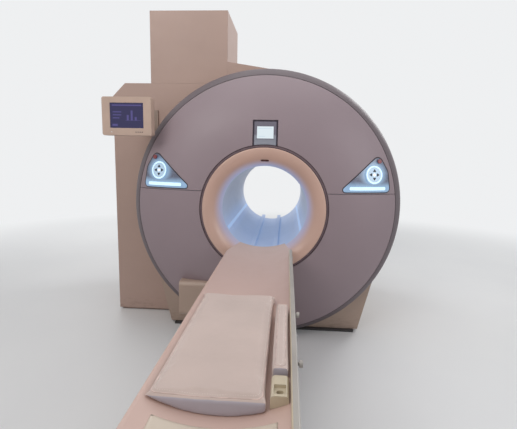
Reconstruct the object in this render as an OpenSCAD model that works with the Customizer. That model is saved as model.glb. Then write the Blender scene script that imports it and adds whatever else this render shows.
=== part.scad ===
// Closed-bore MRI scanner: round domed front, service column on the left, lifting patient table.
// The origin lies on the floor under the isocentre, +Y runs along the bore to the rear, +Z is up.
// The table is modelled raised to the bore; its lift goes down from there.

/* [Bore and gantry] */
// Radius of the patient bore
bore_r = 300; // [292:1:310]
// Height of the bore's axis above the floor
axis_z = 955; // [945:1:975]
// Distance from the isocentre to the front end of the straight bore
bore_front = 708; // [690:1:720]
// Distance from the isocentre to the rear end of the straight bore
bore_rear = 690; // [670:1:710]
// Radius of the flare that opens the bore to the front
front_flare_r = 117; // [108:1:125]
// Radius of the flare that opens the bore to the rear
rear_flare_r = 110; // [95:1:120]
// Wall of the moulded covers
cover_t = 8; // [6:0.5:9]
// Wall of the bore liner
liner_t = 6; // [4:0.5:8]

/* [Round front cover] */
// Outer radius of the round front
disc_r = 975; // [965:1:985]
// Outer radius of the domed cover, where the rim band starts
dome_out = 915; // [905:1:920]
// Width of the dark groove around the flare ring
groove_w = 20; // [14:1:24]
// How far the domed cover lies behind the front of the flare ring
dome_setback = 15; // [10:1:20]
// Radius of the dome's section
dome_curve = 900; // [860:5:960]
// Gap between the domed cover and the rim band
rim_groove = 3; // [2:0.5:5]
// Depth of the rim band's straight side
rim_side = 24; // [16:1:34]
// Height of the horizontal seam above the bore's axis
seam_up = 124; // [118:1:127]
// Width of the seam
seam_w = 3; // [2:0.5:4]

/* [Body covers] */
// Radius of the barrel behind the round front
body_r = 925; // [920:1:935]
// Half width of the body where it meets the floor
base_half = 724; // [705:1:735]
// Gap under the covers, filled by the recessed plinth
floor_gap = 15; // [10:1:20]
// Distance from the isocentre to the rear edge of the side covers
side_rear = 660; // [640:1:675]
// Radius of the rear cover's domed section
rear_curve = 2900; // [2600:50:3400]

/* [Service column] */
// Outer edge of the column, from the bore's axis
column_out = 1240; // [1210:5:1270]
// How far the column's top lies below the top of the body
column_drop = 14; // [4:1:24]
// Width and height of the column's bevelled corner
column_bevel = 100; // [80:5:130]
// Front of the column, in front of the isocentre
column_front = 330; // [300:5:350]
// Rear of the column, behind the isocentre
column_rear = 270; // [220:5:300]
// Left side of the chimney, from the bore's axis
chimney_out = 930; // [905:5:950]
// Right side of the chimney, from the bore's axis
chimney_in = 328; // [310:5:350]
// Top of the chimney
chimney_top = 2400; // [2300:10:2600]
// Right end of the turret cover behind the round front
turret_right = 160; // [140:5:190]
// Rise of the turret cover above the column's top, at the chimney
turret_rise = 164; // [150:2:180]
// Rise of the turret cover above the column's top, at its right end
turret_end_rise = 89; // [75:2:100]

/* [Control panels] */
// Side distance of the key cluster from the bore's axis
cluster_x = 740; // [736:1:744]
// Height of the key cluster above the bore's axis
cluster_z = 256; // [252:1:259]
// Radius of the cluster's pod
pod_r = 68; // [66:0.5:68]
// How far the panel stands proud of the dome
panel_proud = 3; // [2:0.5:4]
// Distance of an arrow key from the cluster's centre
key_reach = 28; // [27:0.5:30]
// Size of an arrow key
key_size = 22; // [20:0.5:23]
// How far a key stands out
key_proud = 3; // [2.5:0.25:4]
// Travel of a key
key_travel = 2; // [1.5:0.25:2.5]
// Radius of the emergency stop's head
stop_r = 15; // [13:0.5:16]
// Travel of the emergency stop
stop_travel = 4; // [3:0.5:5]

/* [Display above the bore] */
// Width of the display panel
display_w = 160; // [150:1:170]
// Height of the display panel
display_h = 155; // [145:1:165]
// Width of the lit screen
screen_w = 110; // [100:1:120]
// Height of the lit screen
screen_h = 79; // [70:1:85]

/* [Monitor] */
// Width of the monitor
monitor_w = 340; // [325:1:350]
// Height of the monitor
monitor_h = 255; // [240:1:265]
// Depth of the monitor
monitor_d = 65; // [55:1:75]
// Side distance of the monitor's swivel from the bore's axis
monitor_x = 935; // [930:1:950]
// Height of the monitor's centre
monitor_z = 1570; // [1560:1:1585]
// Distance of the swivel in front of the isocentre
swivel_y = 690; // [685:1:700]

/* [Table] */
// Half width of the tabletop
top_half = 196; // [190:1:200]
// Length of the tabletop
top_len = 2250; // [2200:10:2300]
// Gap between the parked tabletop and the dock
dock_gap = 25; // [20:1:30]
// Gap between the tabletop's underside arc and the bore
top_clear = 11; // [10:0.5:14]
// Depth of the tabletop's flat underside below the bore's axis
top_under = 272; // [271:0.5:274]
// Depth of the tabletop's trough below the bore's axis
top_trough = 240; // [236:1:244]
// Depth of the tabletop's edges below the bore's axis
top_edge = 196; // [192:1:200]
// From the middle to the mattress's left edge
mat_left = 186; // [178:1:190]
// From the middle to the outer edge of the arm pad's strip
strip_edge = 172; // [168:1:173]
// Right half width of the mattress, beside the arm pad
mat_right = 124; // [116:1:126]
// Depth of the mattress's top below the bore's axis
mat_top = 190; // [186:1:192]
// Distance from the dock end of the tabletop to the mattress
mat_start = 1055; // [1000:5:1080]
// Length of the mattress
mat_len = 740; // [700:5:770]
// How far the table goes down
lift_travel = 250; // [200:5:255]
// How far the tabletop runs into the bore
slide_travel = 1600; // [1400:10:1620]
// Side of the outer lift column tube
column_w = 150; // [140:1:156]
// Wall of the lift column tubes
tube_t = 8; // [6:0.5:9]
// Sliding clearance between telescoping tubes, each side
tube_clear = 0.5; // [0.3:0.05:0.6]

/* [Table drive] */
// Radius of the head roller
roller_r = 22; // [18:0.5:24]
// Radius of the drive pulleys
pulley_r = 20; // [17:0.5:21]
// Radius of the axle pins
pin_r = 6; // [5:0.25:7]
// Running clearance of a bore on its pin
run_clear = 0.05; // [0.03:0.01:0.08]
// Thickness of the drive belt
belt_t = 3; // [2:0.25:3.5]

/* [Hidden] */
$fn = 120;

// Seat gap between pieces of one body that meet on a curve
seat = 0.3;
// How far inside the round body's edge the sloped sides start
blend = 0.1;
// Depth of the seams round the service doors
door_seam_d = 3;
// Height of a vent's slot
vent_h = 10;
// A length past every edge, for cuts
past = 60;
big = 3000;

// Front of the flare ring and its outer radius
flare_out = bore_r + front_flare_r;
flare_y = -bore_front - front_flare_r;
ring_r = flare_out + cover_t;
// The domed cover's section is an arc that starts square to the axis at dome_in
dome_in = ring_r + groove_w;
dome_y = flare_y + dome_setback;
function dome_surface(r) = dome_y + dome_curve - sqrt(pow(dome_curve, 2) - pow(r - dome_in, 2));
function dome_tilt(r) = asin((r - dome_in) / dome_curve);
dome_edge = dome_surface(dome_out);
cover_seat = dome_edge + 30;
// The rim band's arc carries the dome's slope on and ends parallel to the axis at disc_r
rim_w = disc_r - dome_out;
rim_slope = tan(dome_tilt(dome_out));
rim_lead = rim_slope * rim_w * (rim_slope + sqrt(pow(rim_slope, 2) + 1));
rim_curve = rim_w + rim_lead;
rim_cr = dome_out - rim_lead;
rim_cy = dome_edge + rim_lead / rim_slope;
rim_back = rim_cy + rim_side;

// The body's side runs from the floor up to a tangent point on the barrel
base_far = norm([base_half, axis_z]);
side_angle = atan2(axis_z, -base_half) - asin(body_r / base_far);
// Where the side covers' seam lies, behind the column's middle
foot_seam = column_rear - 130;
function side_tangent(inset) = (body_r - inset) * [sin(side_angle), -cos(side_angle)];
function side_x(inset, z) = (body_r - inset + cos(side_angle) * (z - axis_z)) / sin(side_angle);
rear_y = bore_rear + rear_flare_r;
rear_ring_r = bore_r + rear_flare_r + cover_t;

// Service column
column_top = axis_z + body_r - column_drop;
turret_high = column_top + turret_rise;
turret_low = column_top + turret_end_rise;

// Magnet
vessel_r = body_r - 45;
vessel_in = bore_r + 162;
vessel_half = bore_rear - 70;
vessel_t = 10;
helium_r = vessel_r - 80;
helium_in = vessel_in + 83;
helium_half = vessel_half - 80;
helium_t = 6;
coil_in = helium_in + helium_t + seat;
coil_d = 60;
shield_d = 40;
gradient_in = bore_r + 50;
gradient_out = vessel_in - 27;
gradient_half = vessel_half - 20;
mount_w = 60;
body_coil_in = bore_r + 22;
body_coil_half = vessel_half - 140;
body_coil_end = 30;
foot_w = 240;
foot_x = base_half - 294;
foot_y = side_rear - foot_w - 50;
foot_h = 300;
tongue_half = foot_x - foot_w / 2 - 90;
bolt_r = 11;
bolt_x = 90;
neck_r = 92;
quench_r = 80;
cold_at = [-chimney_in - 172, 115];
quench_at = [-chimney_in - 172, -145];

// Table
apron_y = flare_y - 17;
head_y = apron_y - dock_gap;
apron_half = 205;
duct_out = 590;
duct_back = 40;
duct_d = 120;
duct_z = 305;
duct_h = 250;
groove_depth = 8;
foot_end = head_y - top_len;
under_z = axis_z - top_under;
edge_half = top_half - 10;
trough_r = (pow(edge_half, 2) + pow(top_trough - top_edge, 2)) / (2 * (top_trough - top_edge));
trough_up = trough_r - top_trough;
frame_head = head_y - 20;
frame_foot = foot_end + 40;
frame_half = 150;
frame_low = under_z - 88;
frame_pan = 8;
rail_x = 82;
rail_flange = 32;
skirt_t = 6;
skirt_x = frame_half;
skirt_head = head_y - 375;
skirt_foot = foot_end + 375;
skirt_gap = 6;
base_t = 25;
base_half_w = 230;
anchor_r = 7;
skirt_low = lift_travel + base_t + 5;
lower_skirt_top = skirt_low + 20;
stations = [head_y - 725, foot_end + 725];
mid_w = column_w - 2 * tube_t - 2 * tube_clear;
inner_w = mid_w - 2 * tube_t - 2 * tube_clear;
outer_top = skirt_low + 40;
stage_len = outer_top - base_t - 40;
middle_low = outer_top - lift_travel / 2;
inner_low = middle_low + lift_travel / 2 + 5;
belt_z = frame_low + 46;
roller_y = frame_head - 30;
roller_z = under_z - 0.2 - roller_r;
idler_y = frame_head - 95;
pulley_y = frame_foot + 60;
pulley_half = 14;
lug_y = pulley_y + 300;

// Control panel outline, as side distance and height from the bore's axis
panel_corners = [[507, 138], [861, 138], [842, 278], [774, 390]];
panel_rounds = [16, 26, 90, 34];
gasket_w = 6;
bar_from = 575;
bar_to = 828;
bar_z = 163;
bar_h = 22;
stop_x = 772;
stop_z = 345;
pod_up = 5;
key_clear = 0.4;
ring_light_in = 51;
ring_light_out = 61;
key_angles = [90, 270, 180, 0];

function unit(v) = v / norm(v);
// Points of a fillet of radius r at corner b of the path a, b, c
function fillet(a, b, c, r, n) =
    let (u = unit(a - b), v = unit(c - b), half = acos(u * v) / 2)
    let (centre = b + unit(u + v) * r / sin(half))
    let (from = b + u * r / tan(half) - centre, to = b + v * r / tan(half) - centre)
    let (start = atan2(from.y, from.x), turn = (atan2(to.y, to.x) - start + 540) % 360 - 180)
    [for (i = [0 : n]) centre + r * [cos(start + turn * i / n), sin(start + turn * i / n)]];
// A closed path with each corner rounded by its own radius
function rounded(path, radii, n = 6) =
    let (k = len(path))
    [for (i = [0 : k - 1]) each fillet(path[(i + k - 1) % k], path[i], path[(i + 1) % k], radii[i], n)];
// The panel outline grown by d, for the gasket and its cut-out
function grown(path, d) =
    let (k = len(path))
    [for (i = [0 : k - 1])
        let (u = unit(path[i] - path[(i + k - 1) % k]), v = unit(path[(i + 1) % k] - path[i]))
        let (n = unit([u.y + v.y, -u.x - v.x]))
        path[i] + n * d / (n * [u.y, -u.x])];

// Turns a section, drawn as radius and depth, about the bore's axis
module about_axis() {
    translate([0, 0, axis_z]) rotate([-90, 0, 0]) rotate_extrude(convexity = 6) children();
}

// Extrudes a front view, drawn as side distance and height above the axis, from y0 to y1
module along_bore(y0, y1) {
    translate([0, y1, axis_z]) rotate([90, 0, 0]) linear_extrude(y1 - y0, convexity = 6) children();
}

// Extrudes a plan view from z0 to z1
module upright(z0, z1) {
    translate([0, 0, z0]) linear_extrude(z1 - z0, convexity = 6) children();
}

// Places its children on the dome at a side distance and a height, their +Z along the outward normal
module on_dome(x, z) {
    r = norm([x, z]);
    translate([x, dome_surface(r), axis_z + z])
        rotate(dome_tilt(r), v = [-z / r, 0, x / r])
        rotate([90, 0, 0]) children();
}

module round_rect(size, r) {
    square([size.x - 2 * r, size.y], center = true);
    square([size.x, size.y - 2 * r], center = true);
    for (sx = [-1, 1], sy = [-1, 1])
        translate([sx * (size.x / 2 - r), sy * (size.y / 2 - r)]) circle(r, $fn = 32);
}

// A box with rounded upright edges, centred on its plan
module round_box(size, r) {
    linear_extrude(size.z) round_rect([size.x, size.y], r);
}

module square_tube(w, t, z0, z1) {
    upright(z0, z1) difference() {
        square(w, center = true);
        square(w - 2 * t, center = true);
    }
}

// Everything above the covers' lower edge
module above_floor() {
    translate([-big, -big, floor_gap]) cube([2 * big, 2 * big, big]);
}

// The dome's section between two offsets from its surface
module dome_section(out, in, r0, r1) {
    intersection() {
        translate([dome_in, dome_y + dome_curve]) difference() {
            circle(dome_curve + out, $fn = 240);
            circle(dome_curve - in, $fn = 240);
        }
        translate([r0, dome_y - past]) square([r1 - r0, dome_edge - dome_y + 2 * past]);
    }
}

module dome_layer(out, in) {
    about_axis() dome_section(out, in, dome_in, dome_out);
}

// All space on and behind the front surface, grown by gap, for pieces that seat against it
module front_mass(gap) {
    about_axis() {
        translate([flare_out, -bore_front]) intersection() {
            circle(front_flare_r + gap);
            translate([-front_flare_r - gap, -front_flare_r - gap])
                square([front_flare_r + gap + 1, 2 * front_flare_r]);
        }
        translate([flare_out, flare_y - gap]) square([ring_r + gap - flare_out, 2 * front_flare_r]);
        translate([ring_r, dome_y + groove_depth - gap]) square([groove_w, front_flare_r]);
        intersection() {
            translate([dome_in, dome_y + dome_curve]) circle(dome_curve + gap, $fn = 240);
            translate([dome_in, dome_y - gap]) square([dome_out - dome_in, 300]);
        }
        intersection() {
            translate([rim_cr, rim_cy]) circle(rim_curve + gap);
            translate([dome_out, rim_cy - rim_curve - gap]) square([rim_w + gap, rim_curve + gap]);
        }
        translate([dome_out, rim_cy - 1]) square([rim_w + gap, rim_side + 1]);
    }
}

// Outline of the body behind the round front
module body_outline(inset) {
    t = side_tangent(inset + blend);
    foot = side_x(inset + blend, 0);
    circle(body_r - inset, $fn = 240);
    polygon([[-t.x, t.y], [-foot, -axis_z], [foot, -axis_z], [t.x, t.y]]);
}

module panel_outline(side, grow) {
    scale([side, 1]) polygon(rounded(grown(panel_corners, grow), [for (r = panel_rounds) r + grow]));
}

module front_section() {
    dome_section(0, cover_t, dome_in, dome_out);
    translate([dome_in, dome_y + 1]) square([cover_t, 31]);
    translate([dome_out - cover_t, dome_edge + 2]) square([cover_t, cover_seat - dome_edge - 2]);
}

module display_opening(grow) {
    translate([-display_w / 2 - grow, dome_in - past])
        square([display_w + 2 * grow, display_h + 2 + grow + past]);
}

module front_cover() {
    difference() {
        about_axis() front_section();
        for (side = [-1, 1])
            along_bore(dome_y - past, dome_edge + past) panel_outline(side, gasket_w + seat);
        along_bore(dome_y - past, dome_y + past) display_opening(4);
    }
}

module front_cover_upper() {
    color([0.55, 0.50, 0.52]) intersection() {
        front_cover();
        translate([-big, -big, axis_z + seam_up + seam_w / 2]) cube(2 * big);
    }
}

module front_cover_lower() {
    color([0.55, 0.50, 0.52]) intersection() {
        front_cover();
        translate([-big, -big, axis_z + seam_up - seam_w / 2 - 2 * big]) cube(2 * big);
    }
}

module rim_section() {
    start = dome_out + rim_groove;
    intersection() {
        translate([rim_cr, rim_cy]) difference() {
            circle(rim_curve);
            circle(rim_curve - cover_t);
        }
        translate([start, rim_cy - rim_curve]) square([rim_w, rim_curve]);
    }
    translate([disc_r - cover_t, rim_cy]) square([cover_t, rim_side]);
    translate([body_r - 3 * cover_t, rim_back - cover_t])
        square([disc_r - body_r + 3 * cover_t, cover_t]);
    translate([start, dome_edge + 12]) square([cover_t, cover_seat + cover_t - dome_edge - 12]);
    translate([dome_out - 2 * cover_t, cover_seat]) square([start + 3 * cover_t - dome_out, cover_t]);
}

module rim_band() {
    color([0.30, 0.27, 0.29]) intersection() {
        about_axis() rim_section();
        above_floor();
    }
}

module flare_section(radius, lip) {
    intersection() {
        difference() {
            circle(radius);
            circle(radius - cover_t);
        }
        translate([-radius, -radius]) square(radius);
    }
    intersection() {
        translate([0, cover_t - radius]) circle(cover_t);
        translate([0, -radius]) square([cover_t, cover_t]);
    }
    translate([0, cover_t - radius]) square([cover_t, lip]);
}

module flare_ring() {
    color([0.80, 0.70, 0.62]) difference() {
        about_axis() translate([flare_out, -bore_front]) flare_section(front_flare_r, 40);
        laser_seat(0.2);
    }
}

module rear_flare() {
    color([0.80, 0.70, 0.62])
        about_axis() translate([rear_ring_r - cover_t, bore_rear]) mirror([0, 1])
        flare_section(rear_flare_r, 30);
}

// The laser's window lies on the flare above the bore, square to its surface
laser_angle = 48;
laser_w = 56;
laser_h = 16;
module laser_seat(gap) {
    translate([0, -bore_front, axis_z + flare_out])
        rotate([180 - laser_angle, 0, 0])
        translate([0, 0, front_flare_r - 6]) linear_extrude(7)
        round_rect([laser_w + 2 * gap, laser_h + 2 * gap], laser_h / 2 + gap - 0.01);
}

module laser_window() {
    color([0.08, 0.05, 0.07]) laser_seat(0);
}

module cover_gaskets() {
    color([0.10, 0.10, 0.11]) {
        about_axis() translate([ring_r + seat, dome_y + groove_depth]) square([groove_w - 2 * seat, 18]);
        for (side = [-1, 1]) intersection() {
            dome_layer(1, cover_t + 4);
            along_bore(dome_y - past, dome_edge + past) difference() {
                panel_outline(side, gasket_w);
                panel_outline(side, seat);
            }
        }
    }
}

// Light strips lie along the bore at this angle from its lowest line
strip_angle = 60;
strip_w = 24;
module light_slots(gap) {
    for (side = [-1, 1])
        translate([0, 0, axis_z]) rotate([0, -side * strip_angle, 0])
        translate([-strip_w / 2 - gap, 20 - bore_front - gap, -bore_r - liner_t - 4])
        cube([strip_w + 2 * gap, bore_front + bore_rear - 40 + 2 * gap, liner_t + 8]);
}

module liner_section() {
    translate([bore_r, -bore_front]) square([liner_t, bore_front + bore_rear]);
}

module bore_liner() {
    color([0.86, 0.82, 0.78]) difference() {
        about_axis() liner_section();
        light_slots(seat);
    }
}

module bore_lights() {
    color([0.45, 0.70, 1.00]) intersection() {
        about_axis() liner_section();
        light_slots(0);
    }
}

// Cut for the seam round a door on the column's left face
module door_seam(y0, y1, z0, z1) {
    translate([-column_out - door_seam_d, 0, 0]) rotate([90, 0, 90]) linear_extrude(2 * door_seam_d) difference() {
        translate([y0, z0]) square([y1 - y0, z1 - z0]);
        translate([y0 + seam_w, z0 + seam_w]) square([y1 - y0 - 2 * seam_w, z1 - z0 - 2 * seam_w]);
    }
}

// Rows of vent slots, as cuts that start at one corner and go up
module vent(x0, x1, y0, y1, z, rows) {
    for (i = [0:rows - 1])
        translate([x0, y0, z + 2 * i * vent_h]) cube([x1 - x0, y1 - y0, vent_h]);
}

module side_cover(side) {
    color([0.72, 0.64, 0.56]) difference() {
        union() {
            intersection() {
                along_bore(rim_back, side_rear) difference() {
                    body_outline(0);
                    body_outline(cover_t);
                    translate([-big, -axis_z]) square([2 * big, floor_gap]);
                }
                translate([side > 0 ? seam_w / 2 : -big, -big, 0]) cube([big - seam_w / 2, 2 * big, big]);
            }
            scale([side, 1, 1]) translate([base_half - 90, rim_back, floor_gap])
                cube([90 + side_x(cover_t / 2, floor_gap) - base_half, side_rear - rim_back, cover_t]);
            intersection() {
                along_bore(rim_back, rim_back + cover_t) difference() {
                    body_outline(0);
                    circle(body_r - 2 * cover_t, $fn = 240);
                    translate([-big, -axis_z]) square([2 * big, floor_gap]);
                }
                translate([side > 0 ? seam_w / 2 : -big, -big, 0]) cube([big - seam_w / 2, 2 * big, big]);
            }
        }
        for (p = [cold_at, quench_at])
            translate([p.x, p.y, axis_z]) cylinder(r = neck_r + 6, h = body_r + past);
        // Seam between the cover's front and rear part, and a vent beside the magnet's rear foot
        along_bore(foot_seam, foot_seam + seam_w) difference() {
            body_outline(-1);
            body_outline(door_seam_d);
        }
        scale([side, 1, 1]) vent(base_half - 60, base_half + 140, column_rear + 60, side_rear - 80, 140, 9);
    }
}

module side_cover_left() {
    side_cover(-1);
}

module side_cover_right() {
    side_cover(1);
}

module rear_dome(depth) {
    intersection() {
        translate([rear_ring_r, rear_y - rear_curve]) difference() {
            circle(rear_curve, $fn = 360);
            circle(rear_curve - depth, $fn = 360);
        }
        translate([rear_ring_r + seat, side_rear - past]) square([1000, 300]);
    }
}

module rear_cover() {
    color([0.72, 0.64, 0.56]) intersection() {
        union() {
            intersection() {
                about_axis() rear_dome(cover_t);
                along_bore(side_rear, rear_y + past) body_outline(0);
            }
            intersection() {
                about_axis() rear_dome(200);
                along_bore(side_rear, rear_y + past) difference() {
                    body_outline(0);
                    body_outline(cover_t);
                }
            }
        }
        above_floor();
    }
}

module plinth() {
    color([0.12, 0.11, 0.11]) difference() {
        union() {
            translate([30 - base_half, rim_back - 30, 0])
                cube([2 * base_half - 60, side_rear - rim_back + 20, floor_gap]);
            translate([-tongue_half, dome_edge + 60, 0]) cube([2 * tongue_half, 100, floor_gap]);
        }
        translate([110 - base_half, rim_back + 50, -1])
            cube([2 * base_half - 220, side_rear - rim_back - 130, floor_gap + 2]);
    }
}

module magnet_feet() {
    color([0.35, 0.36, 0.38]) for (sx = [-1, 1], sy = [-1, 1]) translate([sx * foot_x, sy * foot_y, 0])
        difference() {
            union() {
                translate([-foot_w / 2, -foot_w / 2, 0]) cube([foot_w, foot_w, 20]);
                translate([-foot_w / 4, -foot_w / 2, 0]) cube([foot_w / 2, foot_w, foot_h]);
                for (y = [-foot_w / 2, foot_w / 2 - 16]) translate([10 - foot_w / 2, y, 0])
                    cube([foot_w - 20, 16, foot_h * 0.4]);
            }
            translate([-sx * foot_x, -sy * foot_y - big / 2, axis_z]) rotate([-90, 0, 0])
                cylinder(r = vessel_r + seat, h = big, $fn = 240);
            for (x = [-bolt_x, bolt_x]) translate([x, 0, -1]) cylinder(r = bolt_r, h = 40, $fn = 32);
        }
}

module vacuum_vessel() {
    color([0.75, 0.76, 0.78]) about_axis() difference() {
        union() {
            translate([vessel_in, -vessel_half]) square([vessel_r - vessel_in, 2 * vessel_half]);
            for (y = [-vessel_half, vessel_half - 24])
                translate([vessel_r - 30, y]) square([30, 24]);
        }
        translate([vessel_in + vessel_t, vessel_t - vessel_half])
            square([vessel_r - vessel_in - 2 * vessel_t, 2 * (vessel_half - vessel_t)]);
    }
}

module helium_vessel() {
    color([0.70, 0.72, 0.70]) about_axis() difference() {
        translate([helium_in, -helium_half]) square([helium_r - helium_in, 2 * helium_half]);
        translate([helium_in + helium_t, helium_t - helium_half])
            square([helium_r - helium_in - 2 * helium_t, 2 * (helium_half - helium_t)]);
    }
    // Suspension rods between the two vessels
    color([0.85, 0.75, 0.45]) for (a = [45 : 90 : 315], sy = [-1, 1])
        translate([0, sy * (helium_half - 60), axis_z]) rotate([0, a, 0])
        translate([0, 0, helium_r - 3]) cylinder(r = 12, h = vessel_r - vessel_t - helium_r + 2.5, $fn = 24);
}

// Each winding as its middle and its half length, as shares of the helium vessel's half length
windings = [[-0.87, 0.11], [-0.48, 0.075], [-0.17, 0.075], [0.17, 0.075], [0.48, 0.075], [0.87, 0.11]];
module magnet_coils() {
    color([0.72, 0.45, 0.20]) about_axis() {
        for (w = windings) translate([coil_in, (w[0] - w[1]) * helium_half])
            square([coil_d, 2 * w[1] * helium_half]);
        for (y = [-0.89, 0.7]) translate([helium_r - helium_t - seat - shield_d, y * helium_half])
            square([shield_d, 0.19 * helium_half]);
    }
}

module gradient_coil() {
    color([0.55, 0.35, 0.22]) about_axis() {
        translate([gradient_in, -gradient_half]) square([gradient_out - gradient_in, 2 * gradient_half]);
        for (y = [40 - gradient_half, gradient_half - 40 - mount_w]) translate([gradient_out, y])
            square([vessel_in - gradient_out - seat, mount_w]);
    }
}

module body_coil() {
    ring_in = bore_r + liner_t + seat;
    color([0.78, 0.52, 0.30]) about_axis() {
        translate([body_coil_in, -body_coil_half]) square([6, 2 * body_coil_half]);
        for (y = [-body_coil_half, body_coil_half - body_coil_end]) translate([ring_in, y])
            square([gradient_in - seat - ring_in, body_coil_end]);
    }
}

module column_view(inset) {
    bend = inset * tan(22.5);
    polygon([
        [inset - column_out, floor_gap + inset - axis_z],
        [inset - column_out, column_top - column_bevel - bend - axis_z],
        [column_bevel + bend - column_out, column_top - inset - axis_z],
        [-chimney_in - inset, column_top - inset - axis_z],
        [-chimney_in - inset, floor_gap + inset - axis_z]
    ]);
}

// The box the chimney stands on, or its hollow when inset by a wall
module chimney_box(inset, z0, z1) {
    translate([inset - chimney_out, inset - column_front, z0])
        cube([chimney_out - chimney_in - 2 * inset, column_front + column_rear - 2 * inset, z1 - z0]);
}

module service_column() {
    color([0.68, 0.60, 0.52]) difference() {
        along_bore(-column_front, column_rear) difference() {
            column_view(0);
            body_outline(-seat);
        }
        along_bore(cover_t - column_front, column_rear - cover_t) column_view(cover_t);
        chimney_box(cover_t, column_top - column_bevel, column_top + 10);
        door_seam(60 - column_front, column_rear - 60, 130, column_top - column_bevel - 130);
        vent(-column_out - 1, cover_t + 1 - column_out, 120 - column_front, column_rear - 120, 190, 10);
    }
    color([0.12, 0.11, 0.11]) translate([20 - column_out, 20 - column_front, 0])
        cube([column_out - base_half - 120, column_front + column_rear - 40, floor_gap]);
}

module chimney_cover() {
    color([0.68, 0.60, 0.52]) difference() {
        chimney_box(0, column_top, chimney_top);
        chimney_box(cover_t, column_top - 1, chimney_top - cover_t);
        translate([quench_at.x, quench_at.y, chimney_top - past]) cylinder(r = quench_r + 4, h = 2 * past);
        vent(-chimney_out - 1, cover_t + 1 - chimney_out, 130 - column_front, column_rear - 130, chimney_top - 200, 6);
    }
}

module turret_view(inset) {
    low = sqrt(pow(body_r, 2) - pow(chimney_in, 2)) - past;
    rise = inset / cos(atan((turret_high - turret_low) / (chimney_in + turret_right)));
    polygon([
        [inset - chimney_in, low],
        [inset - chimney_in, turret_high - rise - axis_z],
        [turret_right - inset, turret_low - rise - axis_z],
        [turret_right - inset, low]
    ]);
}

module turret_cover() {
    color([0.68, 0.60, 0.52]) difference() {
        along_bore(-column_front, column_rear) difference() {
            turret_view(0);
            body_outline(-seat);
        }
        along_bore(cover_t - column_front, column_rear - cover_t) turret_view(cover_t);
    }
}

// Upright necks rise from the vessel through the left side cover
module neck(at, r, top) {
    difference() {
        translate([at.x, at.y, axis_z]) cylinder(r = r, h = top - axis_z);
        translate([0, 0, axis_z]) rotate([90, 0, 0]) cylinder(r = vessel_r + seat, h = big, center = true, $fn = 240);
    }
}

module cold_head() {
    color([0.62, 0.64, 0.66]) {
        neck(cold_at, neck_r, column_top - 40);
        translate([cold_at.x, cold_at.y, 0]) {
            upright(column_top - 40, column_top - 20) circle(neck_r + 15);
            upright(column_top - 20, column_top + 200) circle(60);
            upright(column_top + 200, column_top + 225) circle(82);
            upright(column_top + 225, column_top + 300) circle(45);
        }
    }
}

module quench_pipe() {
    color([0.70, 0.71, 0.72]) {
        neck(quench_at, neck_r, column_top - 60);
        translate([quench_at.x, quench_at.y, 0]) {
            upright(column_top - 60, column_top - 40) circle(neck_r + 15);
            upright(column_top - 40, chimney_top + 10) difference() {
                circle(quench_r);
                circle(quench_r - 4);
            }
        }
    }
}

module display_frame() {
    on_dome(0, dome_in + 2 + display_h / 2) children();
}

module display_bezel() {
    color([0.34, 0.32, 0.34]) difference() {
        display_frame() display_body();
        translate([0, 0, axis_z]) rotate([90, 0, 0]) cylinder(r = dome_in, h = big, center = true, $fn = 240);
    }
}

module display_body() {
    difference() {
        translate([0, 0, -14]) union() {
            round_box([display_w, display_h, 13], 6);
            translate([-display_w / 2, -display_h / 2 - 20, 0]) cube([display_w, display_h / 2, 13]);
        }
        translate([-screen_w / 2 - seat, -screen_h / 2 - seat, -5]) cube([screen_w + 2 * seat, screen_h + 2 * seat, 8]);
        translate([-display_w / 2 + 12, 10 - display_h / 2, -3]) cube([display_w - 24, 22, 8]);
    }
}

module display_screen() {
    color([0.88, 0.96, 1.00]) display_frame()
        translate([-screen_w / 2, -screen_h / 2, -5]) cube([screen_w, screen_h, 3]);
}

// Places its children on the key cluster of one side, their +Z out of the panel
module at_cluster(side) {
    on_dome(side * cluster_x, cluster_z) children();
}

// An arrowhead that points along +X
module arrow(grow) {
    h = key_size / 2 + grow;
    polygon(rounded([[-h * 0.8, -h * 1.1], [h, 0], [-h * 0.8, h * 1.1]], [2, 2, 2], 3));
}

module key_places() {
    for (a = key_angles) rotate(a) translate([key_reach, 0]) children();
}

module panel(side) {
    color([0.20, 0.30, 0.42]) difference() {
        union() {
            intersection() {
                dome_layer(panel_proud, cover_t);
                along_bore(dome_y - past, dome_edge + past) panel_outline(side, 0);
            }
            at_cluster(side) translate([0, 0, -12]) cylinder(r = pod_r, h = 12 + panel_proud + pod_up);
        }
        along_bore(dome_y - past, dome_edge + past) bar_outline(side, seat);
        at_cluster(side) {
            translate([0, 0, panel_proud + pod_up - 2]) linear_extrude(past) difference() {
                circle(ring_light_out + seat);
                circle(ring_light_in - seat);
            }
            translate([0, 0, panel_proud + pod_up - key_travel - 4]) linear_extrude(past) {
                key_places() arrow(key_clear);
                circle(key_size / 2 - 2 + key_clear);
            }
        }
        on_dome(side * stop_x, stop_z) translate([0, 0, -4]) cylinder(r = stop_r * 0.6 + key_clear, h = past);
    }
}

module panel_left() {
    panel(-1);
}

module panel_right() {
    panel(1);
}

module bar_outline(side, grow) {
    scale([side, 1]) translate([(bar_from + bar_to) / 2, bar_z])
        round_rect([bar_to - bar_from + 2 * grow, bar_h + 2 * grow], 8 + grow);
}

module panel_lights() {
    color([0.75, 0.92, 1.00]) for (side = [-1, 1]) {
        intersection() {
            dome_layer(panel_proud + 1, cover_t);
            along_bore(dome_y - past, dome_edge + past) bar_outline(side, 0);
        }
        at_cluster(side) translate([0, 0, panel_proud + pod_up - 2]) linear_extrude(2.5) difference() {
            circle(ring_light_out);
            circle(ring_light_in);
        }
    }
}

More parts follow.
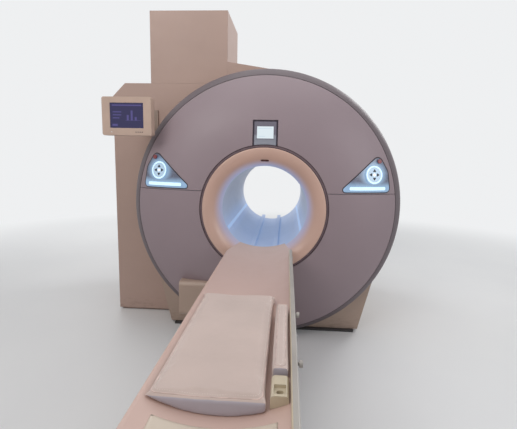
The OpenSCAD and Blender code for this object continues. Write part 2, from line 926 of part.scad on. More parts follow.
// One key of a cluster: an arrowhead at an angle, or the round centre key
module key_at(side, angle) {
    color([0.10, 0.12, 0.16]) at_cluster(side) translate([0, 0, panel_proud + pod_up - 4 + seat])
        linear_extrude(4 + key_proud) rotate(angle) translate([key_reach, 0]) arrow(0);
}

module centre_key(side) {
    color([0.92, 0.96, 1.00]) at_cluster(side) translate([0, 0, panel_proud + pod_up - 4 + seat])
        cylinder(r = key_size / 2 - 2, h = 4 + key_proud);
}

module stop_button(side) {
    color([0.62, 0.10, 0.10]) on_dome(side * stop_x, stop_z) {
        translate([0, 0, seat]) cylinder(r = stop_r * 0.6, h = panel_proud + stop_travel + 3);
        translate([0, 0, panel_proud + stop_travel + 1]) cylinder(r = stop_r, h = 8);
    }
}

module dock_apron() {
    color([0.78, 0.68, 0.60]) difference() {
        upright(0, axis_z - bore_r) {
            translate([0, apron_y + 75]) round_rect([2 * apron_half, 150], 45);
            translate([-apron_half, apron_y + 60]) square([2 * apron_half, 140]);
        }
        front_mass(seat);
        translate([-250, -bore_front, 0]) cube([500, 400, axis_z]);
    }
}

module cable_duct() {
    color([0.70, 0.62, 0.54]) difference() {
        translate([-duct_out, dome_y + duct_back, duct_z]) rotate([90, 0, 90])
            linear_extrude(duct_out - apron_half) round_rect([duct_d, duct_h], 30);
        front_mass(seat);
    }
}

module bridge_rails() {
    color([0.85, 0.80, 0.74]) intersection() {
        for (side = [-1, 1]) translate([side * rail_x - rail_flange / 2, apron_y + 60, axis_z - bore_r - past])
            cube([rail_flange, rear_y - apron_y - 80, past + bore_r - top_under - seat]);
        translate([0, -big / 2, axis_z]) rotate([-90, 0, 0]) cylinder(r = bore_r - seat, h = big);
    }
}

module at_swivel() {
    translate([-monitor_x, -swivel_y, monitor_z]) children();
}

module monitor_arm() {
    color([0.66, 0.60, 0.54]) {
        translate([-monitor_x - 60, -column_front - 12, monitor_z - 90]) cube([120, 12, 180]);
        translate([-monitor_x - 25, -swivel_y - 20, monitor_z - 90])
            cube([50, swivel_y - column_front + 8, 30]);
        at_swivel() translate([0, 0, -80]) cylinder(r = 12, h = 130, $fn = 48);
        at_swivel() translate([0, 0, -61]) cylinder(r = 30, h = 21, $fn = 48);
    }
}

tilt_y = 40;
module monitor_yoke() {
    color([0.40, 0.40, 0.42]) at_swivel() difference() {
        union() {
            translate([0, 0, -39.7]) cylinder(r = 24, h = 75, $fn = 48);
            translate([-22, -tilt_y - 12, -25]) cube([44, tilt_y, 50]);
            translate([-62, -tilt_y, 0]) rotate([0, 90, 0]) cylinder(r = 8, h = 124, $fn = 48);
        }
        translate([0, 0, -60]) cylinder(r = 12 + run_clear, h = 150, $fn = 48);
    }
}

module monitor_housing() {
    color([0.74, 0.62, 0.54]) at_swivel() difference() {
        union() {
            translate([0, -tilt_y - 32, 0]) rotate([90, 0, 0]) linear_extrude(monitor_d)
                round_rect([monitor_w, monitor_h], 14);
            for (x = [-58, 44]) translate([x, -tilt_y - 33, -14]) cube([14, 33 + 14, 28]);
        }
        translate([-170, -tilt_y, 0]) rotate([0, 90, 0]) cylinder(r = 8 + run_clear, h = 340, $fn = 48);
        translate([-115, -tilt_y - 32 - monitor_d - 1, -78]) cube([230, 7, 166]);
    }
}

module monitor_screen() {
    color([0.12, 0.10, 0.25]) at_swivel()
        translate([-115 + seat, -tilt_y - 32 - monitor_d + 3, -78 + seat])
        cube([230 - 2 * seat, 3, 166 - 2 * seat]);
}

// A box shell without floor or lid, in plan from (x, y0) to (-x, y1)
module ring_wall(x, y0, y1, t, z0, z1) {
    upright(z0, z1) difference() {
        translate([-x, y0]) square([2 * x, y1 - y0]);
        translate([t - x, y0 + t]) square([2 * (x - t), y1 - y0 - 2 * t]);
    }
}

module table_base() {
    color([0.20, 0.20, 0.21]) difference() {
        union() {
            translate([-base_half_w, skirt_foot - 100, 0])
                cube([2 * base_half_w, skirt_head - skirt_foot + 200, base_t]);
            translate([-130, skirt_head, 0]) cube([260, apron_y - skirt_head, base_t]);
        }
        for (x = [-1, 1], y = [skirt_foot - 60, skirt_head + 60])
            translate([x * (base_half_w - 30), y, -1]) cylinder(r = anchor_r, h = base_t + 2, $fn = 32);
    }
    inset = skirt_t + skirt_gap;
    color([0.72, 0.66, 0.60])
        ring_wall(skirt_x - inset, skirt_foot + inset, skirt_head - inset, skirt_t, base_t, lower_skirt_top);
    color([0.60, 0.61, 0.63]) for (y = stations) translate([0, y, 0])
        square_tube(column_w, tube_t, base_t, outer_top);
}

module columns_middle() {
    color([0.66, 0.67, 0.69]) for (y = stations) translate([0, y, 0])
        square_tube(mid_w, tube_t, middle_low, middle_low + stage_len);
}

module frame_section() {
    translate([-frame_half, frame_low]) square([2 * frame_half, frame_pan]);
    for (side = [-1, 1]) {
        translate([side * (frame_half - 4) - 4, frame_low]) square([8, 80]);
        translate([side * rail_x - 5, frame_low]) square([10, under_z - frame_low - 3]);
        translate([side * rail_x - rail_flange / 2, under_z - 6 - seat]) square([rail_flange, 6]);
    }
}

module lift_frame() {
    color([0.50, 0.51, 0.53]) difference() {
        translate([0, frame_head, 0]) rotate([90, 0, 0]) linear_extrude(frame_head - frame_foot) frame_section();
        for (p = [[roller_y, roller_z], [idler_y, belt_z], [pulley_y, belt_z]])
            translate([-rail_x - 20, p[0], p[1]]) rotate([0, 90, 0])
            cylinder(r = pin_r + run_clear, h = 2 * rail_x + 40, $fn = 32);
    }
    color([0.72, 0.73, 0.75]) for (p = [[roller_y, roller_z], [idler_y, belt_z], [pulley_y, belt_z]])
        translate([-rail_x - 5, p[0], p[1]]) rotate([0, 90, 0]) cylinder(r = pin_r, h = 2 * rail_x + 10, $fn = 32);
    color([0.66, 0.67, 0.69]) for (y = stations) translate([0, y, 0])
        square_tube(inner_w, tube_t, inner_low, frame_low);
}

shell_r = 110;
module shell_section() {
    for (side = [-1, 1]) scale([side, 1]) intersection() {
        translate([frame_half + 36 - shell_r, frame_low + 105]) difference() {
            circle(shell_r);
            circle(shell_r - skirt_t);
        }
        translate([frame_half + seat, frame_low]) square([40, 105]);
    }
}

module end_section() {
    for (side = [-1, 1]) scale([side, 1]) intersection() {
        translate([frame_half + 36 - shell_r, frame_low + 105]) circle(shell_r);
        translate([0, frame_low]) square([frame_half + 40, 82]);
    }
    translate([-frame_half, frame_low]) square([2 * frame_half, 82]);
}

module table_shells() {
    color([0.76, 0.68, 0.60]) {
        translate([0, frame_head, 0]) rotate([90, 0, 0])
            linear_extrude(frame_head - frame_foot) shell_section();
        for (y = [frame_head + skirt_t, frame_foot]) translate([0, y, 0]) rotate([90, 0, 0])
            linear_extrude(skirt_t) end_section();
        ring_wall(skirt_x, skirt_foot, skirt_head, skirt_t, skirt_low, frame_low);
    }
}

module top_section() {
    difference() {
        intersection() {
            circle(bore_r - top_clear, $fn = 240);
            translate([-top_half, -top_under]) square([2 * top_half, top_under - top_edge]);
        }
        translate([0, trough_up]) circle(trough_r, $fn = 240);
    }
}

module tabletop() {
    color([0.82, 0.74, 0.68]) difference() {
        along_bore(foot_end, head_y) top_section();
        for (side = [-1, 1]) translate([side * (top_half + 1), head_y, under_z - 10]) rotate(side * 8)
            translate([side > 0 ? 0 : -80, -330, 0]) translate([side * -46, 0, 0]) cube([80, 400, 120]);
    }
    // Lug that grips the drive belt
    color([0.40, 0.40, 0.42]) translate([-12, lug_y - 30, belt_z + pulley_r + belt_t + 2 * seat])
        cube([24, 60, under_z - belt_z - pulley_r - belt_t - 2 * seat]);
}

// What lies in the tabletop's trough: a front view cut off at the trough's surface
module in_trough(start, length) {
    along_bore(head_y - start - length, head_y - start) intersection() {
        translate([0, trough_up]) circle(trough_r - seat, $fn = 240);
        children();
    }
}

module mattress() {
    color([0.86, 0.77, 0.73]) in_trough(mat_start, mat_len)
        translate([-mat_left, -top_trough]) square([mat_left + mat_right, top_trough - mat_top]);
}

pad_w = strip_edge - mat_right - 2;
pad_start = mat_start + 150;
pad_len = 460;
pad_up = 22;
module strip_view(up) {
    h = top_trough - mat_top + up;
    translate([strip_edge - pad_w / 2, up - mat_top - h / 2]) round_rect([pad_w, h], 11);
}

module arm_pad() {
    color([0.84, 0.75, 0.71]) in_trough(pad_start, pad_len) strip_view(pad_up);
}

// Coil socket block behind the arm pad: a low housing with a recess and a round socket
socket_start = pad_start + pad_len + 12;
socket_len = 92;
module socket_block() {
    x = strip_edge - pad_w / 2;
    y = head_y - socket_start - socket_len / 2;
    top = axis_z - mat_top + 6;
    difference() {
        in_trough(socket_start, socket_len) strip_view(6);
        translate([x - 15, y - 36, top - 9]) cube([30, 40, 20]);
        translate([x, y - 16, top - 22]) cylinder(r = 9, h = 30, $fn = 32);
    }
}

rail_w = 20;
rail_h = 22;
rail_start = 325;
knobs_at = [mat_start + 217, mat_start + 557];
module side_rails() {
    color([0.62, 0.63, 0.60]) along_bore(foot_end + 25, head_y - rail_start)
        translate([top_half - rail_w / 2, rail_h / 2 - top_edge]) round_rect([rail_w, rail_h], 5);
    color([0.62, 0.63, 0.60]) for (y = knobs_at)
        translate([top_half - 2, head_y - y, axis_z - top_edge + rail_h / 2]) rotate([0, 90, 0]) {
            cylinder(r = 5, h = 8, $fn = 32);
            translate([0, 0, 6]) cylinder(r = 10, h = 10, $fn = 32);
        }
    color([0.80, 0.76, 0.62]) socket_block();
}

module belt_loop() {
    run = idler_y - pulley_y;
    module loop(r) {
        circle(r, $fn = 48);
        translate([run, 0]) circle(r, $fn = 48);
        translate([0, -r]) square([run, 2 * r]);
    }
    translate([0, pulley_y, belt_z]) rotate([90, 0, 90]) translate([0, 0, 2 - pulley_half])
        linear_extrude(2 * pulley_half - 4) difference() {
            loop(pulley_r + belt_t);
            loop(pulley_r + seat);
        }
}

module drive_unit() {
    color([0.14, 0.14, 0.15]) belt_loop();
    color([0.55, 0.56, 0.58]) translate([pulley_half + 4, pulley_y, belt_z]) rotate([0, 90, 0]) difference() {
        cylinder(r = 34, h = rail_x - 5 - pulley_half - 4, $fn = 64);
        translate([0, 0, -1]) cylinder(r = pin_r + run_clear, h = 100, $fn = 32);
    }
}

module turned(r, half) {
    rotate([0, 90, 0]) difference() {
        translate([0, 0, -half]) cylinder(r = r, h = 2 * half, $fn = 64);
        translate([0, 0, -half - 1]) cylinder(r = pin_r + run_clear, h = 2 * half + 2, $fn = 32);
    }
}

module pulley() {
    turned(pulley_r, pulley_half);
    for (side = [-1, 1]) translate([side * (pulley_half - 0.75), 0, 0]) turned(pulley_r + belt_t + 1, 0.75);
}

module drive_pulley() {
    color([0.45, 0.46, 0.48]) translate([0, pulley_y, belt_z]) pulley();
}

module idler_pulley() {
    color([0.45, 0.46, 0.48]) translate([0, idler_y, belt_z]) pulley();
}

module head_roller() {
    color([0.30, 0.30, 0.31]) translate([0, roller_y, roller_z]) turned(roller_r, 60);
}

plinth();
magnet_feet();
vacuum_vessel();
helium_vessel();
magnet_coils();
gradient_coil();
body_coil();
bore_liner();
bore_lights();
flare_ring();
cover_gaskets();
laser_window();
front_cover_upper();
front_cover_lower();
rim_band();
side_cover_left();
side_cover_right();
rear_cover();
rear_flare();
service_column();
chimney_cover();
turret_cover();
cold_head();
quench_pipe();
display_bezel();
display_screen();
panel_left();
panel_right();
panel_lights();
key_at(-1, key_angles[0]);  // key_left_up
key_at(-1, key_angles[1]);  // key_left_down
key_at(-1, key_angles[2]);  // key_left_in
key_at(-1, key_angles[3]);  // key_left_out
centre_key(-1);  // key_left_centre
key_at(1, key_angles[0]);  // key_right_up
key_at(1, key_angles[1]);  // key_right_down
key_at(1, key_angles[2]);  // key_right_in
key_at(1, key_angles[3]);  // key_right_out
centre_key(1);  // key_right_centre
stop_button(-1);  // stop_left
stop_button(1);  // stop_right
dock_apron();
cable_duct();
bridge_rails();
monitor_arm();
monitor_yoke();
monitor_housing();
monitor_screen();
table_base();
columns_middle();
lift_frame();
table_shells();
tabletop();
mattress();
arm_pad();
side_rails();
drive_unit();
drive_pulley();
idler_pulley();
head_roller();
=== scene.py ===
import math

import bmesh
import bpy
from mathutils import Matrix, Vector
from mathutils.bvhtree import BVHTree


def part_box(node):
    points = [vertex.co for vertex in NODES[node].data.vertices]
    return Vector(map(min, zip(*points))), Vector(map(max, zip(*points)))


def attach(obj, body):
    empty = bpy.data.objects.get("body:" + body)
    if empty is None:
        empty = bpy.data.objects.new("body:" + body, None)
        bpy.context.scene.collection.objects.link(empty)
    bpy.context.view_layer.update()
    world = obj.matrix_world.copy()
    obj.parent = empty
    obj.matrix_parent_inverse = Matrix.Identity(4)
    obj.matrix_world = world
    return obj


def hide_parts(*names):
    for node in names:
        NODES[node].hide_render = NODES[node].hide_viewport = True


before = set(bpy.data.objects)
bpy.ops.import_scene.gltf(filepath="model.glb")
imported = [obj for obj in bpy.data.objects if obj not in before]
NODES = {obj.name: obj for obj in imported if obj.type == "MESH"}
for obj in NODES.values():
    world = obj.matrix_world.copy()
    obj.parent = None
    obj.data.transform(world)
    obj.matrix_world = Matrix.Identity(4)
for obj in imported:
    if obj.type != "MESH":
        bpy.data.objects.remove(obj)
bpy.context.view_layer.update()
scene = bpy.context.scene
scene.view_settings.view_transform = "Standard"

# Camera: the photograph's viewing angle
CAMERA_AT = Vector((0.149, -3.515, 1.344))
PITCH, YAW, ROLL = (math.radians(a) for a in (8.76, 3.87, 1.14))
FOCAL_SHARE = 400 / 517
SENSOR = 36.0


def make_camera():
    up = Vector((0, 0, 1))
    ahead = Vector((-math.sin(YAW), math.cos(YAW), 0))
    right = Vector((math.cos(YAW), math.sin(YAW), 0))
    look = ahead * math.cos(PITCH) - up * math.sin(PITCH)
    rise = up * math.cos(PITCH) + ahead * math.sin(PITCH)
    side = right * math.cos(ROLL) + rise * math.sin(ROLL)
    rise = rise * math.cos(ROLL) - right * math.sin(ROLL)
    data = bpy.data.cameras.new("camera")
    data.sensor_width = SENSOR
    data.lens = FOCAL_SHARE * SENSOR
    data.clip_end = 60
    cam = bpy.data.objects.new("camera", data)
    scene.collection.objects.link(cam)
    turn = Matrix((side, rise, -look)).transposed().to_4x4()
    cam.matrix_world = Matrix.Translation(CAMERA_AT) @ turn
    scene.camera = cam


make_camera()


def srgb(r, g, b):
    """A colour as it shows, 0 to 255, as linear values."""
    def lin(v):
        v /= 255
        return v / 12.92 if v <= 0.04045 else ((v + 0.055) / 1.055) ** 2.4
    return (lin(r), lin(g), lin(b), 1.0)


def shade(color, k):
    return (*(max(0.0, min(1.0, c * k)) for c in color[:3]), 1.0)


class Maker:
    """Builds one node material on a Principled shader."""

    def __init__(self, name):
        self.mat = bpy.data.materials.new(name)
        self.mat.use_nodes = True
        self.tree = self.mat.node_tree
        self.tree.nodes.clear()
        self.out = self.node("ShaderNodeOutputMaterial")
        self.bsdf = self.node("ShaderNodeBsdfPrincipled")
        self.link(self.bsdf.outputs[0], self.out.inputs[0])
        self.coord = self.node("ShaderNodeTexCoord")

    def node(self, kind, **values):
        n = self.tree.nodes.new(kind)
        for k, v in values.items():
            setattr(n, k, v)
        return n

    def link(self, a, b):
        self.tree.links.new(a, b)

    def noise(self, scale, detail=3.0, stretch=(1, 1, 1), rough=0.5):
        m = self.node("ShaderNodeMapping")
        m.inputs["Scale"].default_value = stretch
        self.link(self.coord.outputs["Object"], m.inputs[0])
        n = self.node("ShaderNodeTexNoise")
        n.inputs["Scale"].default_value = scale
        n.inputs["Detail"].default_value = detail
        n.inputs["Roughness"].default_value = rough
        self.link(m.outputs[0], n.inputs["Vector"])
        return n.outputs["Fac"]

    def ramp(self, fac, stops):
        r = self.node("ShaderNodeValToRGB")
        e = r.color_ramp.elements
        while len(e) < len(stops):
            e.new(0.5)
        for el, (pos, col) in zip(e, stops):
            el.position = pos
            el.color = col if len(col) == 4 else (*col, 1)
        self.link(fac, r.inputs[0])
        return r.outputs[0]

    def span(self, fac, lo, hi):
        m = self.node("ShaderNodeMapRange")
        m.inputs["To Min"].default_value = lo
        m.inputs["To Max"].default_value = hi
        self.link(fac, m.inputs[0])
        return m.outputs[0]

    def math(self, op, a, b=None):
        m = self.node("ShaderNodeMath", operation=op)
        for i, v in enumerate((a, b) if b is not None else (a,)):
            self.feed(m.inputs[i], v)
        return m.outputs[0]

    def length(self, a, b):
        return self.math("SQRT", self.math("ADD", self.math("MULTIPLY", a, a), self.math("MULTIPLY", b, b)))

    def feed(self, socket, value):
        """A number or a colour is set on the socket, an output is linked to it."""
        if isinstance(value, (int, float, tuple)):
            socket.default_value = value
        else:
            self.link(value, socket)

    def mix(self, fac, a, b):
        m = self.node("ShaderNodeMix", data_type="RGBA")
        for i, v in ((0, fac), (6, a), (7, b)):
            self.feed(m.inputs[i], v)
        return m.outputs[2]

    def xyz(self):
        n = self.node("ShaderNodeSeparateXYZ")
        self.link(self.coord.outputs["Object"], n.inputs[0])
        return n.outputs

    def fade(self, value, near, far):
        """1 where value is at near, 0 at far, smooth between them."""
        m = self.node("ShaderNodeMapRange", interpolation_type="SMOOTHSTEP")
        for i, v in zip(("From Min", "From Max", "To Min", "To Max"), (near, far, 1.0, 0.0)):
            m.inputs[i].default_value = v
        self.link(value, m.inputs["Value"])
        return m.outputs[0]

    def away(self, x, z):
        """Distance from the line through (x, z) that runs along Y."""
        p = self.xyz()
        return self.length(self.math("SUBTRACT", p[0], x), self.math("SUBTRACT", p[2], z))

    def inside(self, p, x0, x1, z0, z1):
        """1 in a rectangle of the XZ plane, 0 outside it."""
        a = self.math("MULTIPLY", self.math("GREATER_THAN", p[0], x0), self.math("LESS_THAN", p[0], x1))
        b = self.math("MULTIPLY", self.math("GREATER_THAN", p[2], z0), self.math("LESS_THAN", p[2], z1))
        return self.math("MULTIPLY", a, b)

    def bump(self, height, strength, distance, normal=None):
        b = self.node("ShaderNodeBump")
        b.inputs["Strength"].default_value = strength
        b.inputs["Distance"].default_value = distance
        self.link(height, b.inputs["Height"])
        if normal is not None:
            self.link(normal, b.inputs["Normal"])
        return b.outputs[0]

    def set(self, **sockets):
        for k, v in sockets.items():
            self.feed(self.bsdf.inputs[k.replace("_", " ")], v)


def round_edges(m, radius):
    b = m.node("ShaderNodeBevel")
    b.samples = 4
    b.inputs["Radius"].default_value = radius
    return b.outputs[0]


def paint(name, color, rough=0.38, edge=0.004, peel=0.25, mottle=0.05, coat=0.15, scuffs=False):
    """Sprayed moulding: fine orange peel, faint cloudiness, dulled patches, softened edges, scuffs near the floor."""
    m = Maker(name)
    cloud = m.noise(2.2, 4.0)
    tint = m.ramp(cloud, [(0.3, shade(color, 1 - mottle)), (0.7, shade(color, 1 + mottle))])
    grime = m.noise(9.0, 6.0, rough=0.65)
    tint = m.mix(m.span(grime, 0.0, 0.10), tint, shade(color, 0.72))
    if scuffs:
        streaks = m.ramp(m.noise(16.0, 6.0, (1.0, 1.0, 5.0), 0.7), [(0.5, (0, 0, 0)), (0.72, (1, 1, 1))])
        low = m.fade(m.xyz()[2], 0.02, 0.16)
        tint = m.mix(m.math("MULTIPLY", m.math("MULTIPLY", low, streaks), 0.55), tint, shade(color, 0.45))
    m.set(Base_Color=tint, Roughness=m.span(m.noise(14.0, 5.0), rough - 0.06, rough + 0.10))
    m.set(Coat_Weight=coat, Coat_Roughness=0.25)
    m.set(Normal=m.bump(m.noise(420.0, 2.0), peel, 0.0006, round_edges(m, edge)))
    return m.mat


def plastic(name, color, rough=0.5, edge=0.0015):
    """Moulded plastic with a fine spark-eroded grain."""
    m = Maker(name)
    tint = m.ramp(m.noise(6.0, 4.0), [(0.3, shade(color, 0.93)), (0.7, shade(color, 1.06))])
    m.set(Base_Color=tint, Roughness=m.span(m.noise(30.0, 4.0), rough - 0.05, rough + 0.1))
    m.set(Normal=m.bump(m.noise(900.0, 2.0), 0.35, 0.0005, round_edges(m, edge)))
    return m.mat


def metal(name, color, rough, stretch, scale=90.0):
    """Brushed metal with streaks along one axis."""
    m = Maker(name)
    streak = m.noise(scale, 3.0, stretch)
    m.set(Base_Color=m.ramp(streak, [(0.25, shade(color, 0.82)), (0.75, shade(color, 1.1))]))
    m.set(Metallic=1.0, Roughness=m.span(streak, rough - 0.08, rough + 0.14))
    m.set(Normal=m.bump(streak, 0.12, 0.0004))
    return m.mat


def rubber(name, color, rough=0.7):
    """Matt rubber or vinyl with a fine grain."""
    m = Maker(name)
    m.set(Base_Color=m.ramp(m.noise(25.0, 5.0), [(0.3, shade(color, 0.8)), (0.75, shade(color, 1.5))]))
    m.set(Roughness=m.span(m.noise(60.0), rough - 0.1, rough + 0.12))
    m.set(Normal=m.bump(m.noise(700.0), 0.4, 0.0005))
    return m.mat


def lit(name, color, glow, strength):
    """A lamp behind a diffuser: brighter in the middle of its cells."""
    m = Maker(name)
    cell = m.noise(40.0, 2.0)
    m.set(Base_Color=color, Roughness=0.3)
    m.set(Emission_Color=m.ramp(cell, [(0.3, shade(glow, 0.86)), (0.7, glow)]), Emission_Strength=strength)
    return m.mat


def coated_fabric(name, color):
    """Wipe-clean coated knit: fine weave, soft sheen, faint handling marks."""
    m = Maker(name)
    threads = []
    for axis in "XY":
        weave = m.node("ShaderNodeTexWave", bands_direction=axis)
        weave.inputs["Scale"].default_value = 260.0
        weave.inputs["Distortion"].default_value = 0.6
        m.link(m.coord.outputs["Object"], weave.inputs["Vector"])
        threads.append(weave.outputs["Fac"])
    knit = m.math("MULTIPLY", *threads)
    tint = m.ramp(m.noise(5.0, 5.0), [(0.3, shade(color, 0.93)), (0.7, shade(color, 1.05))])
    tint = m.mix(m.span(knit, 0.0, 0.12), tint, shade(color, 0.8))
    creases = m.noise(7.0, 5.0, (1.0, 2.2, 1.0), 0.6)
    m.set(Base_Color=tint, Roughness=m.span(m.noise(18.0, 4.0), 0.5, 0.68), Sheen_Weight=0.25)
    m.set(Normal=m.bump(knit, 0.25, 0.0004, m.bump(creases, 0.35, 0.006)))
    return m.mat


# Places in the part: the bore's axis and radius, the ring and the groove round it, the bore's light strips,
# the middle of the key clusters and of their light bars
AXIS = 0.955
BORE_R, RING_R, GROOVE_R = 0.300, 0.425, 0.445
STRIP_X, STRIP_Z = 0.26, AXIS - 0.15
CLUSTER_X, CLUSTER_Z = 0.740, AXIS + 0.256
BAR_Z = AXIS + 0.163


def panel_film(name, side):
    """Printed film over the lit panel: the light ring and the bar glow through it, the corners stay dim."""
    m = Maker(name)
    p = m.xyz()
    out = m.away(side * CLUSTER_X, CLUSTER_Z)
    bar = m.math("ABSOLUTE", m.math("SUBTRACT", p[2], BAR_Z))
    glow = m.math("MAXIMUM", m.fade(out, 0.050, 0.112), m.fade(bar, 0.008, 0.056))
    film = m.ramp(m.noise(7.0, 4.0), [(0.3, srgb(92, 96, 114)), (0.7, srgb(104, 108, 126))])
    lit_film = m.mix(glow, srgb(12, 16, 28), srgb(128, 168, 200))
    disc = m.fade(out, 0.045, 0.052)
    grain = m.span(m.noise(60.0, 3.0), 0.75, 1.0)
    m.set(Base_Color=film, Roughness=m.span(m.noise(24.0, 4.0), 0.20, 0.34), Coat_Weight=0.4)
    glow_color = m.mix(m.math("MULTIPLY", disc, grain), lit_film, srgb(176, 204, 222))
    m.set(Emission_Color=glow_color, Emission_Strength=0.85)
    m.set(Normal=m.bump(m.noise(500.0, 2.0), 0.08, 0.0004, round_edges(m, 0.002)))
    return m.mat


def liner_painted_glow(name, color):
    """Pale moulded liner with painted light: a blue glow from its light strips painted on as emission, most of it low
    in the bore.
    """
    m = Maker(name)
    p = m.xyz()
    tint = m.ramp(m.noise(3.0, 4.0), [(0.3, shade(color, 0.95)), (0.7, shade(color, 1.04))])
    width = m.math("ABSOLUTE", p[0])
    strip = m.length(m.math("SUBTRACT", width, STRIP_X), m.math("SUBTRACT", p[2], STRIP_Z))
    # Painted light: the strips' blue light on the liner and its glow low in the bore are emission on a part that is
    # no lamp
    low = m.fade(p[2], AXIS - BORE_R, AXIS + 0.22)
    painted_spill = m.math("MAXIMUM", m.math("MULTIPLY", low, 0.8), m.fade(strip, 0.0, 0.20))
    painted_spill_color = m.mix(low, srgb(54, 82, 112), srgb(78, 116, 166))
    cloud = m.span(m.noise(5.0, 3.0, (1, 0.4, 1)), 0.8, 1.0)
    m.set(Base_Color=tint, Roughness=m.span(m.noise(16.0, 4.0), 0.34, 0.46), Coat_Weight=0.08)
    m.set(Emission_Color=m.mix(m.math("MULTIPLY", painted_spill, cloud), srgb(30, 40, 52), painted_spill_color), Emission_Strength=0.8)
    m.set(Normal=m.bump(m.noise(300.0, 2.0), 0.06, 0.0004))
    return m.mat


def ring_paint_and_painted_glow(name, color):
    """The flare's paint, with a painted blue glow round the inner edge of the ring where the bore's light falls."""
    m = Maker(name)
    tint = m.ramp(m.noise(2.6, 4.0), [(0.3, shade(color, 0.96)), (0.7, shade(color, 1.04))])
    out = m.away(0.0, AXIS)
    # Painted light: the blue glow round the bore's mouth is emission on the paint, which is no lamp
    painted_lip_glow = m.fade(out, BORE_R, BORE_R + 0.052)
    m.set(Base_Color=tint, Roughness=m.span(m.noise(14.0, 5.0), 0.30, 0.42), Coat_Weight=0.3, Coat_Roughness=0.2)
    m.set(Emission_Color=m.mix(painted_lip_glow, (0.0, 0.0, 0.0, 1.0), srgb(76, 118, 160)), Emission_Strength=0.8)
    m.set(Normal=m.bump(m.noise(420.0, 2.0), 0.2, 0.0006, round_edges(m, 0.004)))
    return m.mat


def ring_gasket(name):
    """Grey-mauve rubber that fills the groove round the ring, with painted shade on both edges where it meets the
    covers.
    """
    m = Maker(name)
    out = m.away(0.0, AXIS)
    inner = m.fade(out, RING_R + 0.0025, RING_R + 0.0065)
    outer = m.fade(out, GROOVE_R - 0.0015, GROOVE_R - 0.0050)
    # Painted shade: the rubber is darkened along both edges, in the crevices where it meets the ring and the covers
    painted_crevice_shade = m.math("MAXIMUM", inner, outer)
    tint = m.ramp(m.noise(25.0, 5.0), [(0.3, srgb(112, 94, 102)), (0.75, srgb(130, 112, 118))])
    m.set(Base_Color=m.mix(painted_crevice_shade, tint, srgb(44, 34, 40)), Roughness=m.span(m.noise(60.0), 0.55, 0.75))
    m.set(Normal=m.bump(m.noise(700.0), 0.4, 0.0005))
    return m.mat


def bezel_face(name, node):
    """Satin front with a painted shade line round its edge and a brighter plate under the screen."""
    m = Maker(name)
    p = m.xyz()
    low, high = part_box(node)
    side = m.fade(m.math("ABSOLUTE", p[0]), high[0] - 0.0085, high[0] - 0.0060)
    top = m.fade(p[2], high[2] - 0.0085, high[2] - 0.0055)
    face = m.math("MULTIPLY", side, top)
    plate = m.fade(p[2], low[2] + 0.060, low[2] + 0.078)
    tint = m.mix(plate, srgb(112, 108, 120), srgb(140, 142, 152))
    # Painted shade: a dark line round the front's outer edge, where the gap round the bezel falls dark
    tint = m.mix(face, srgb(52, 42, 56), tint)
    m.set(Base_Color=tint, Roughness=m.span(m.noise(26.0, 4.0), 0.28, 0.42), Metallic=0.25)
    m.set(Normal=m.bump(m.noise(800.0, 2.0), 0.2, 0.0004, round_edges(m, 0.002)))
    return m.mat


def screen_page(name, node, back, mark, blocks, strength):
    """A lit screen with plain blocks, each as shares of its width and height."""
    m = Maker(name)
    p = m.xyz()
    low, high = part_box(node)
    w, h = high[0] - low[0], high[2] - low[2]
    mask = 0.0
    for x0, x1, z0, z1 in blocks:
        block = m.inside(p, low[0] + x0 * w, low[0] + x1 * w, low[2] + z0 * h, low[2] + z1 * h)
        mask = m.math("MAXIMUM", mask, block)
    cell = m.span(m.noise(9.0, 2.0), 0.86, 1.0)
    page = m.mix(cell, shade(back, 0.75), back)
    m.set(Base_Color=srgb(12, 12, 16), Roughness=0.16)
    m.set(Emission_Color=m.mix(mask, page, mark), Emission_Strength=strength)
    return m.mat


def rail_and_socket(name):
    """Painted rail outside, cream socket block inside it."""
    m = Maker(name)
    inner = m.fade(m.xyz()[0], 0.1790, 0.1800)
    rail = m.ramp(m.noise(6.0, 4.0), [(0.3, srgb(154, 148, 142)), (0.7, srgb(170, 164, 157))])
    block = m.ramp(m.noise(9.0, 4.0), [(0.3, srgb(186, 172, 148)), (0.7, srgb(198, 185, 161))])
    m.set(Base_Color=m.mix(inner, rail, block), Roughness=m.span(m.noise(20.0, 4.0), 0.3, 0.45))
    m.set(Normal=m.bump(m.noise(500.0, 2.0), 0.2, 0.0005, round_edges(m, 0.0015)))
    return m.mat


